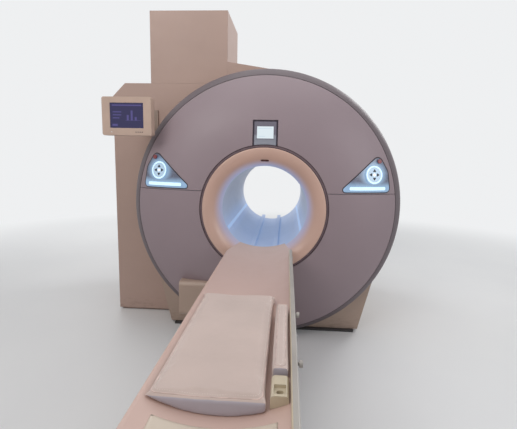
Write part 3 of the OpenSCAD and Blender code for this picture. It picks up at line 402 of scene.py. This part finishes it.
MAUVE = srgb(148, 131, 136)
BEIGE = srgb(173, 150, 135)
COLUMN = srgb(178, 151, 139)
RING = srgb(204, 168, 152)
MAT = {
    "dome": paint("dome_paint", MAUVE, rough=0.46, edge=0.004, peel=0.22, mottle=0.035, coat=0.06),
    "rim": paint("rim_paint", srgb(104, 93, 97), rough=0.52, edge=0.003, peel=0.2, mottle=0.04, coat=0.02),
    "ring": ring_paint_and_painted_glow("ring_paint_and_painted_glow", RING),
    "beige": paint("beige_cover", BEIGE, rough=0.42, edge=0.006, peel=0.3, mottle=0.04, scuffs=True),
    "column": paint("column_paint", COLUMN, rough=0.46, edge=0.006, peel=0.35, mottle=0.05, coat=0.05, scuffs=True),
    "apron": paint("apron_paint", srgb(184, 157, 143), rough=0.42, edge=0.006, peel=0.3, mottle=0.035, scuffs=True),
    "couch": paint("couch_shell", srgb(198, 169, 158), rough=0.36, edge=0.004, peel=0.25, mottle=0.03, coat=0.2),
    "liner": liner_painted_glow("bore_liner_painted_glow", srgb(172, 176, 188)),
    "bridge": liner_painted_glow("bridge_painted_glow", srgb(176, 180, 192)),
    "rails": rail_and_socket("rail_paint"),
    "housing": plastic("monitor_plastic", srgb(194, 168, 152), rough=0.48, edge=0.006),
    "bezel": bezel_face("bezel_plastic", "display_bezel"),
    "panel_left": panel_film("panel_film_left", -1),
    "panel_right": panel_film("panel_film_right", 1),
    "key": plastic("key_plastic", srgb(34, 38, 52), rough=0.38, edge=0.001),
    "key_lit": lit("key_lit", srgb(235, 242, 248), srgb(225, 238, 250), strength=0.9),
    "stop": paint("stop_plastic", srgb(128, 34, 38), rough=0.28, edge=0.002, peel=0.1, mottle=0.05, coat=0.6),
    "light": lit("panel_light", srgb(190, 212, 226), srgb(188, 220, 238), strength=0.9),
    "strip": lit("bore_light", srgb(120, 150, 190), srgb(112, 148, 192), strength=0.75),
    "screen": screen_page("screen_white", "display_screen", srgb(226, 238, 244), srgb(192, 214, 230),
                          [(0.08, 0.92, 0.80, 0.83), (0.08, 0.50, 0.16, 0.19)], strength=0.95),
    "navy": screen_page("screen_navy", "monitor_screen", srgb(40, 36, 84), srgb(84, 76, 140),
                        [(0.06, 0.94, 0.88, 0.93), (0.08, 0.34, 0.62, 0.66), (0.08, 0.34, 0.50, 0.54),
                         (0.08, 0.28, 0.38, 0.42), (0.46, 0.92, 0.30, 0.31), (0.50, 0.56, 0.31, 0.52),
                         (0.62, 0.68, 0.31, 0.70), (0.74, 0.80, 0.31, 0.44), (0.06, 0.22, 0.08, 0.16)], strength=0.8),
    "window": plastic("dark_window", srgb(92, 62, 58), rough=0.16, edge=0.001),
    "gasket": ring_gasket("gasket_rubber"),
    "belt": rubber("belt_rubber", srgb(40, 40, 42)),
    "dark": paint("plinth_paint", srgb(58, 55, 55), rough=0.6, edge=0.003, peel=0.5, mottle=0.08, coat=0.0),
    "frame": paint("frame_paint", srgb(128, 130, 134), rough=0.5, edge=0.003, peel=0.4, mottle=0.06, coat=0.05),
    "arm": paint("arm_paint", srgb(150, 131, 119), rough=0.45, edge=0.003, peel=0.3, mottle=0.05, coat=0.1),
    "board": paint("board_paint", srgb(200, 186, 170), rough=0.42, edge=0.0015, peel=0.3, mottle=0.04, coat=0.1),
    "steel": metal("vessel_steel", srgb(190, 192, 196), rough=0.34, stretch=(1, 30, 1)),
    "alu": metal("column_aluminium", srgb(196, 198, 202), rough=0.30, stretch=(30, 30, 1)),
    "copper": metal("winding_copper", srgb(196, 118, 72), rough=0.38, stretch=(1, 30, 1)),
    "resin": plastic("coil_resin", srgb(138, 92, 60), rough=0.45),
    "fabric": coated_fabric("mattress_fabric", srgb(192, 172, 163)),
    # Painted shade: a darker, bluer copy of the fabric for the pads' end faces
    "end_painted_shade": coated_fabric("mattress_end_painted_shade", srgb(172, 164, 172)),
    "piping": rubber("piping_vinyl", srgb(186, 164, 156), rough=0.5),
    "thread": rubber("stitch_thread", srgb(226, 212, 204), rough=0.8),
    "screw": metal("screw_steel", srgb(176, 176, 178), rough=0.3, stretch=(1, 1, 1), scale=200.0),
}
LOOK = {
    "dome": ["front_cover_upper", "front_cover_lower"],
    "rim": ["rim_band"],
    "ring": ["flare_ring", "rear_flare"],
    "beige": ["side_cover_left", "side_cover_right", "rear_cover", "cable_duct", "table_shells"],
    "column": ["service_column", "chimney_cover", "turret_cover"],
    "apron": ["dock_apron"],
    "couch": ["tabletop"],
    "liner": ["bore_liner"],
    "bridge": ["bridge_rails"],
    "rails": ["side_rails"],
    "housing": ["monitor_housing"],
    "bezel": ["display_bezel"],
    "panel_left": ["panel_left"],
    "panel_right": ["panel_right"],
    "light": ["panel_lights"],
    "strip": ["bore_lights"],
    "screen": ["display_screen"],
    "navy": ["monitor_screen"],
    "window": ["laser_window"],
    "gasket": ["cover_gaskets"],
    "belt": ["drive_unit", "head_roller"],
    "dark": ["plinth", "magnet_feet", "table_base"],
    "frame": ["lift_frame"],
    "arm": ["monitor_arm", "monitor_yoke"],
    "steel": ["vacuum_vessel", "helium_vessel", "cold_head", "quench_pipe"],
    "alu": ["columns_middle", "drive_pulley", "idler_pulley"],
    "copper": ["magnet_coils", "body_coil"],
    "resin": ["gradient_coil"],
    "fabric": ["mattress", "arm_pad"],
}


def dress(o, *looks):
    o.data.materials.clear()
    for look in looks:
        o.data.materials.append(MAT[look])


for look, names in LOOK.items():
    for n in names:
        dress(NODES[n], look)
for n, o in NODES.items():
    if n.startswith("key_"):
        dress(o, "key_lit" if n.endswith("centre") else "key")
    if n.startswith("stop_"):
        dress(o, "stop")


def put(name, verts, faces, material, smooth=True):
    mesh = bpy.data.meshes.new(name)
    mesh.from_pydata([tuple(v) for v in verts], [], faces)
    mesh.update()
    mesh.materials.append(MAT[material])
    if smooth:
        mesh.polygons.foreach_set("use_smooth", [True] * len(mesh.polygons))
    o = bpy.data.objects.new(name, mesh)
    scene.collection.objects.link(o)
    return o


def tube(name, path, radius, material):
    """A round cord round a closed path."""
    n, sides = len(path), 8
    verts, faces = [], []
    up = Vector((0, 0, 1))
    for i, p in enumerate(path):
        ahead = (path[(i + 1) % n] - path[i - 1]).normalized()
        across = ahead.cross(up).normalized()
        rise = across.cross(ahead)
        for k in range(sides):
            a = 2 * math.pi * k / sides
            verts.append(p + radius * (math.cos(a) * across + math.sin(a) * rise))
    for i in range(n):
        for k in range(sides):
            j, l = (i + 1) % n, (k + 1) % sides
            faces.append((i * sides + k, i * sides + l, j * sides + l, j * sides + k))
    return put(name, verts, faces, material)


def rounded_path(x0, x1, y0, y1, r, step):
    """Points round a rectangle with rounded corners, evenly spaced."""
    corners = [(x1 - r, y1 - r, 0), (x0 + r, y1 - r, 90), (x0 + r, y0 + r, 180), (x1 - r, y0 + r, 270)]
    rough = [Vector((cx + r * math.cos(math.radians(a + t)), cy + r * math.sin(math.radians(a + t)), 0))
             for cx, cy, a in corners for t in range(0, 91, 10)]
    out, left = [], 0.0
    for a, b in zip(rough, rough[1:] + rough[:1]):
        d = (b - a).length
        while left < d:
            out.append(a.lerp(b, left / d))
            left += step
        left -= d
    return out


def applied(o):
    """The object's mesh with its modifiers made real."""
    mesh = bpy.data.meshes.new_from_object(o.evaluated_get(bpy.context.evaluated_depsgraph_get()))
    o.modifiers.clear()
    o.data = mesh


# The tabletop's trough, a cylinder that the pads lie in: its half width, its depth and how far it lies under the axis
TROUGH_HALF, TROUGH_DEPTH, TROUGH_LOW = 0.186, 0.044, 0.240
TROUGH_R = (TROUGH_HALF ** 2 + TROUGH_DEPTH ** 2) / (2 * TROUGH_DEPTH)
TROUGH_Z = AXIS + TROUGH_R - TROUGH_LOW
# The pads' gap to the trough, their room past the solid's ends, and how they are smoothed and filled
PAD_GAP, END_ROOM = 0.0008, 0.003
SMOOTH_PASSES = 6
CLOTH_FRAMES = 20


def cushion(name, node, voxel, shrink, cap, x_span, rise):
    """The pad that stands for a CAD solid: shrunk, then filled by a cloth simulation that moves no point further
    than cap and leaves it within x_span, the trough and a rise above the solid."""
    low, high = (Vector(c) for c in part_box(node))
    o = bpy.data.objects.new(name, NODES[node].data.copy())
    scene.collection.objects.link(o)
    bm = bmesh.new()
    bm.from_mesh(o.data)
    bmesh.ops.remove_doubles(bm, verts=bm.verts, dist=1e-5)
    bm.to_mesh(o.data)
    bm.free()
    r = o.modifiers.new("Remesh", "REMESH")
    r.mode = "VOXEL"
    r.voxel_size = voxel
    applied(o)
    bm = bmesh.new()
    bm.from_mesh(o.data)
    for _ in range(SMOOTH_PASSES):
        bmesh.ops.smooth_vert(bm, verts=bm.verts, factor=0.5,
                              use_axis_x=True, use_axis_y=True, use_axis_z=True)
    bm.normal_update()
    for v in bm.verts:
        v.co -= v.normal * shrink
    bm.to_mesh(o.data)
    bm.free()
    start = [v.co.copy() for v in o.data.vertices]
    c = o.modifiers.new("Cloth", "CLOTH")
    c.settings.quality = 6
    c.settings.mass = 0.25
    c.settings.tension_stiffness = c.settings.compression_stiffness = 14
    c.settings.shear_stiffness = 6
    c.settings.bending_stiffness = 1.5
    c.settings.use_pressure = True
    c.settings.uniform_pressure_force = 4.0
    c.settings.effector_weights.gravity = 0
    c.collision_settings.use_collision = False
    c.point_cache.frame_start, c.point_cache.frame_end = 1, CLOTH_FRAMES
    for f in range(1, CLOTH_FRAMES + 1):
        scene.frame_set(f)
    applied(o)
    scene.frame_set(1)
    for v, s in zip(o.data.vertices, start):
        d = v.co - s
        if d.length > cap:
            v.co = s + d * (cap / d.length)
        v.co.x = min(max(v.co.x, x_span[0]), x_span[1])
        v.co.y = min(max(v.co.y, low.y - END_ROOM), high.y + END_ROOM)
        v.co.z = min(v.co.z, high.z + rise)
        out = math.hypot(v.co.x, v.co.z - TROUGH_Z)
        if out > TROUGH_R - PAD_GAP:
            k = (TROUGH_R - PAD_GAP) / out
            v.co.x, v.co.z = v.co.x * k, TROUGH_Z + (v.co.z - TROUGH_Z) * k
    sub = o.modifiers.new("Subdivision", "SUBSURF")
    sub.levels = sub.render_levels = 1
    applied(o)
    # The faces at the pad's two ends wear a darker, bluer copy of the fabric: painted shade on the end faces
    dress(o, "fabric", "end_painted_shade")
    for p in o.data.polygons:
        p.use_smooth = True
        p.material_index = 1 if abs(p.normal.y) > 0.75 else 0
    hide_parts(node)
    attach(o, "couch")
    return o


def ray_tree(o):
    return BVHTree.FromPolygons([v.co for v in o.data.vertices], [p.vertices for p in o.data.polygons])


def on_top(o, path, lift):
    """The path laid on the piece's upper side."""
    tree = ray_tree(o)
    out = []
    for p in path:
        hit = tree.ray_cast(Vector((p.x, p.y, 2.0)), Vector((0, 0, -1)))[0]
        if hit is not None:
            out.append(hit + Vector((0, 0, lift)))
    return out


def finish_edges(o, name, inset, r):
    """Piping and a line of stitches round the upper edge of a pad."""
    pipe_r, pipe_step, pipe_sunk = 0.0019, 0.006, 0.0008
    stitch, stitch_step, stitch_lift, to_stitches = 0.0038, 0.0062, 0.0001, 0.0065
    stitch_half, stitch_rise = 0.0006, 0.0005
    xs, ys = [v.co.x for v in o.data.vertices], [v.co.y for v in o.data.vertices]
    x0, x1, y0, y1 = min(xs), max(xs), min(ys), max(ys)
    path = on_top(o, rounded_path(x0 + inset, x1 - inset, y0 + inset, y1 - inset, r, pipe_step), -pipe_sunk)
    pipe = tube(name + "_piping", path, pipe_r, "piping")
    inset += to_stitches
    path = on_top(o, rounded_path(x0 + inset, x1 - inset, y0 + inset, y1 - inset, r, stitch_step), stitch_lift)
    verts, faces = [], []
    for a, b in zip(path, path[1:] + path[:1]):
        ahead = (b - a).normalized()
        across = ahead.cross(Vector((0, 0, 1))).normalized() * stitch_half
        rise = Vector((0, 0, stitch_rise))
        ends = a, a + ahead * stitch
        mid = (ends[0] + ends[1]) / 2
        k = len(verts)
        verts += [ends[0], ends[1], mid + across, mid - across, mid + rise, mid - rise]
        faces += [(k, k + 2, k + 4), (k, k + 4, k + 3), (k, k + 3, k + 5), (k, k + 5, k + 2),
                  (k + 1, k + 4, k + 2), (k + 1, k + 3, k + 4), (k + 1, k + 5, k + 3), (k + 1, k + 2, k + 5)]
    stitches = put(name + "_stitches", verts, faces, "thread", smooth=False)
    for piece in (pipe, stitches):
        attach(piece, "couch")


pad = cushion("mattress_pad", "mattress", voxel=0.006, shrink=0.0025, cap=0.010, x_span=(-0.187, 0.1247), rise=0.005)
finish_edges(pad, "mattress", inset=0.010, r=0.014)
pad = cushion("arm_pad_roll", "arm_pad", voxel=0.004, shrink=0.002, cap=0.006, x_span=(0.1256, 0.1715), rise=0.004)
finish_edges(pad, "arm_pad", inset=0.009, r=0.010)


TREES = {}  # one for each CAD node that a ray was sent to


def onto(node, at, ahead):
    """Where a ray meets a CAD node, and the face's direction there."""
    if node not in TREES:
        TREES[node] = ray_tree(NODES[node])
    point, normal = TREES[node].ray_cast(Vector(at), Vector(ahead).normalized())[:2]
    return point, normal if normal.dot(Vector(ahead)) < 0 else -normal


# Profiles of the fasteners, each ring's radius and height as shares of the fastener's radius, from the seat up
SOCKET = [(1, 0), (1, 0.45), (0.86, 0.62), (0.52, 0.62), (0.50, 0.18)]
BOLT = [(1.5, 0), (1.5, 0.18), (1.02, 0.22), (1.02, 0.24), (1.0, 0.9), (0.8, 1.0)]
CAP = [(1, 0), (1, 0.10), (0.93, 0.17), (0.5, 0.22)]
LOCK = [(1, 0), (1, 0.16), (0.92, 0.24), (0.66, 0.24), (0.62, 0.10)]


def turned(name, body, places, radius, profile, material, hexed=(), key=None):
    """Round fasteners at (point, direction out). The profile's rings listed in hexed are hexagons. A key is the
    slot's half length and half width, as shares of the radius."""
    verts, faces = [], []
    sides, key_floor = 24, 0.0002
    for at, out in places:
        turn = Vector(out).to_track_quat("Z", "Y")
        k = len(verts)
        for i, (r, h) in enumerate(profile):
            for j in range(sides):
                a = 2 * math.pi * j / sides
                side = math.cos(math.pi / 6) / math.cos((a % (math.pi / 3)) - math.pi / 6)
                rr = r * radius * (side if i in hexed else 1)
                verts.append(Vector(at) + turn @ Vector((rr * math.cos(a), rr * math.sin(a), h * radius)))
        last = len(profile) - 1
        for i in range(last):
            for j in range(sides):
                l = (j + 1) % sides
                low, high = k + i * sides, k + (i + 1) * sides
                faces.append((low + j, low + l, high + l, high + j))
        faces.append([k + last * sides + j for j in range(sides)])
        faces.append([k + j for j in reversed(range(sides))])
        if key:
            w, t = (radius * v for v in key)
            k = len(verts)
            for z in (profile[last][1] * radius - key_floor, profile[last - 1][1] * radius):
                verts += [Vector(at) + turn @ Vector((x, y, z)) for x, y in ((-w, -t), (w, -t), (w, t), (-w, t))]
            faces += [(k + 3, k + 2, k + 1, k), (k + 4, k + 5, k + 6, k + 7)]
            faces += [(k + a, k + (a + 1) % 4, k + 4 + (a + 1) % 4, k + 4 + a) for a in range(4)]
    o = put(name, verts, faces, material, smooth=False)
    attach(o, body)


def screws(name, body, places, radius):
    turned(name, body, places, radius, SOCKET, "screw", hexed=(3, 4))


# Table: screws in the shells' ends and the rail
shell_low, shell_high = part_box("table_shells")
ends = [((x, y, z), (0, d, 0)) for y, d in ((shell_low[1], -1), (shell_high[1], 1))
        for x in (-0.13, 0.13) for z in (0.625, 0.655)]
screws("table_end_screws", "table_frame", ends, 0.005)
rail = [onto("side_rails", (1, y, 0.770), (-1, 0, 0)) for y in (-2.98, -2.31, -1.34)]
screws("rail_screws", "couch", rail, 0.004)

# Covers: quarter-turn locks on the service door, screws along the seams, plugs round the rear cover
column_left, column_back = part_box("service_column")[0][0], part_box("service_column")[1][1]
chimney_left, chimney_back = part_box("chimney_cover")[0][0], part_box("chimney_cover")[1][1]
door = [((column_left, y, z), (-1, 0, 0)) for y in (-0.244, 0.184) for z in (0.44, 0.88, 1.32, 1.60)]
turned("door_locks", "gantry", door, 0.011, LOCK, "screw", key=(0.55, 0.12))
seams = [((chimney_left, y, z), (-1, 0, 0)) for y in (-0.305, 0.245) for z in (1.90, 2.13, 2.37)]
seams += [((x, chimney_back, z), (0, 1, 0)) for x in (-0.905, -0.353) for z in (1.90, 2.13, 2.37)]
seams += [((x, column_back, z), (0, 1, 0)) for x in (-1.215, -0.975) for z in (0.06, 0.62, 1.18, 1.74)]
seams += [onto("side_cover_right", (2, 0.165, z), (-1, 0, 0)) for z in (0.12, 0.50, 0.88, 1.26, 1.56)]
for node, side in (("side_cover_left", -1), ("side_cover_right", 1)):
    seams += [onto(node, (2 * side, 0.640, z), (-side, 0, 0)) for z in (0.08, 0.42, 0.78, 1.14, 1.48)]
screws("cover_screws", "gantry", seams, 0.0045)
PLUGS_R = 0.80
around = [math.radians(a) for a in (18, 54, 90, 126, 162, 198, 234, 306, 342)]
plugs = [onto("rear_cover", (PLUGS_R * math.cos(a), 2, AXIS + PLUGS_R * math.sin(a)), (0, -1, 0)) for a in around]
turned("rear_plugs", "gantry", plugs, 0.016, CAP, "ring")

# Bolts in the table's base plate
base = [((x, y, 0.025), (0, 0, 1)) for x in (-0.2, 0.2) for y in (-2.802, -1.182)]
turned("base_bolts", "table_frame", base, 0.009, BOLT, "screw", hexed=(3, 4, 5))

# Monitor: buttons and a lamp under the screen
buttons = [onto("monitor_housing", (x, -2, 1.466), (0, 1, 0)) for x in (-0.872, -0.858, -0.844, -0.830)]
turned("monitor_buttons", "monitor_head", buttons, 0.0036, CAP, "key")
lamp = [onto("monitor_housing", (-1.040, -2, 1.466), (0, 1, 0))]
turned("monitor_lamp", "monitor_head", lamp, 0.0022, CAP, "light")


def foot_board(y0, y1, half, thick):
    """Thin moulded board laid in the trough at the foot end, with three low ribs across it."""
    n, rows = 32, 72
    round_edge, seat, underside = 0.012, 0.0006, 0.0003
    rib_half, rib_rise, rib_end = 0.03, 0.002, 0.03
    verts, faces = [], []
    for i in range(rows + 1):
        y = y0 + (y1 - y0) * i / rows
        rib = sum(max(0.0, 1 - (((y - y0) / (y1 - y0) - c) / rib_half) ** 2) for c in (0.25, 0.5, 0.75))
        for k in range(n + 1):
            x = half * (2 * k / n - 1)
            edge = min(1.0, min(half - abs(x), y - y0, y1 - y) / round_edge)
            lift = seat + thick * math.sqrt(1 - (1 - edge) ** 2)
            lift += rib_rise * min(1.0, rib) * min(1.0, (half - abs(x)) / rib_end)
            for r in (TROUGH_R - lift, TROUGH_R - underside):
                a = x / TROUGH_R
                verts.append((r * math.sin(a), y, TROUGH_Z - r * math.cos(a)))

    def at(i, k, low):
        return 2 * (i * (n + 1) + k) + low

    for i in range(rows):
        for k in range(n):
            faces.append((at(i, k, 0), at(i, k + 1, 0), at(i + 1, k + 1, 0), at(i + 1, k, 0)))
            faces.append((at(i, k, 1), at(i + 1, k, 1), at(i + 1, k + 1, 1), at(i, k + 1, 1)))
    rim = [(0, k) for k in range(n)] + [(i, n) for i in range(rows)]
    rim += [(rows, k) for k in range(n, 0, -1)] + [(i, 0) for i in range(rows, 0, -1)]
    for a, b in zip(rim, rim[1:] + rim[:1]):
        faces.append((at(*a, 0), at(*a, 1), at(*b, 1), at(*b, 0)))
    o = put("foot_board", verts, faces, "board")
    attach(o, "couch")


foot_board(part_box("tabletop")[0][1] + 0.012, -2.690, half=0.150, thick=0.004)


def area(name, at, aim, size, watts, color=(1, 1, 1)):
    data = bpy.data.lights.new(name, "AREA")
    data.shape = "RECTANGLE"
    data.size, data.size_y = size
    data.energy = watts
    data.color = color
    o = bpy.data.objects.new(name, data)
    scene.collection.objects.link(o)
    o.location = at
    o.rotation_euler = (Vector(aim) - Vector(at)).to_track_quat("-Z", "Y").to_euler()


area("key_light", (-2.6, -4.6, 3.9), aim=(0, -0.8, 0.9), size=(2.6, 1.8), watts=74, color=(1.0, 0.97, 0.94))
area("fill_light", (3.6, -3.6, 2.6), aim=(0, -0.9, 0.9), size=(2.4, 2.0), watts=44, color=(0.95, 0.97, 1.0))
area("top_light", (0.0, -1.2, 4.6), aim=(0, -0.8, 0.5), size=(4.0, 4.0), watts=62)
area("rim_light", (3.2, 2.6, 3.8), aim=(0.4, -0.4, 1.4), size=(1.4, 2.4), watts=76)
area("back_light", (-3.2, 3.6, 2.6), aim=(-0.2, 0.4, 1.0), size=(2.4, 2.0), watts=60)

# What camera, glossy and transmission rays see beyond the floor
BACKDROP = (0.86, 0.87, 0.88, 1)
WORLD_LIGHT, WORLD_STRENGTH = (0.92, 0.95, 1.0, 1), 0.34


def seen(tree):
    """1 for camera, glossy and transmission rays."""
    rays = tree.nodes.new("ShaderNodeLightPath")
    out = rays.outputs["Is Camera Ray"]
    for kind in ("Is Glossy Ray", "Is Transmission Ray"):
        larger = tree.nodes.new("ShaderNodeMath")
        larger.operation = "MAXIMUM"
        tree.links.new(out, larger.inputs[0])
        tree.links.new(rays.outputs[kind], larger.inputs[1])
        out = larger.outputs[0]
    return out


world = bpy.data.worlds.new("world")
scene.world = world
world.use_nodes = True
wt = world.node_tree
wt.nodes.clear()
w_mix = wt.nodes.new("ShaderNodeMixShader")
wt.links.new(seen(wt), w_mix.inputs[0])
for place, color, strength in ((1, WORLD_LIGHT, WORLD_STRENGTH), (2, BACKDROP, 1.0)):
    background = wt.nodes.new("ShaderNodeBackground")
    background.inputs[0].default_value = color
    background.inputs[1].default_value = strength
    wt.links.new(background.outputs[0], w_mix.inputs[place])
wt.links.new(w_mix.outputs[0], wt.nodes.new("ShaderNodeOutputWorld").inputs[0])

FLOOR_HALF = 14.0
floor_mesh = bpy.data.meshes.new("floor")
corners = [(x * FLOOR_HALF, y * FLOOR_HALF, 0) for x, y in ((-1, -1), (1, -1), (1, 1), (-1, 1))]
floor_mesh.from_pydata(corners, [], [(0, 1, 2, 3)])
floor = bpy.data.objects.new("floor", floor_mesh)
floor.location.z = -0.0005
scene.collection.objects.link(floor)
fm = Maker("floor_pale")
fm.set(Base_Color=fm.ramp(fm.noise(1.5, 5.0), [(0.3, (0.72, 0.72, 0.72)), (0.7, (0.74, 0.74, 0.735))]), Roughness=0.7)
# Far from the object the floor shows the backdrop's colour
fp = fm.xyz()
reach = fm.length(fp[0], fp[1])
f_glow = fm.node("ShaderNodeEmission")
f_glow.inputs[0].default_value = BACKDROP
f_mix = fm.node("ShaderNodeMixShader")
fm.link(fm.math("MULTIPLY", seen(fm.tree), fm.fade(reach, 6.0, 2.6)), f_mix.inputs[0])
fm.link(fm.bsdf.outputs[0], f_mix.inputs[1])
fm.link(f_glow.outputs[0], f_mix.inputs[2])
fm.link(f_mix.outputs[0], fm.out.inputs[0])
floor_mesh.materials.append(fm.mat)
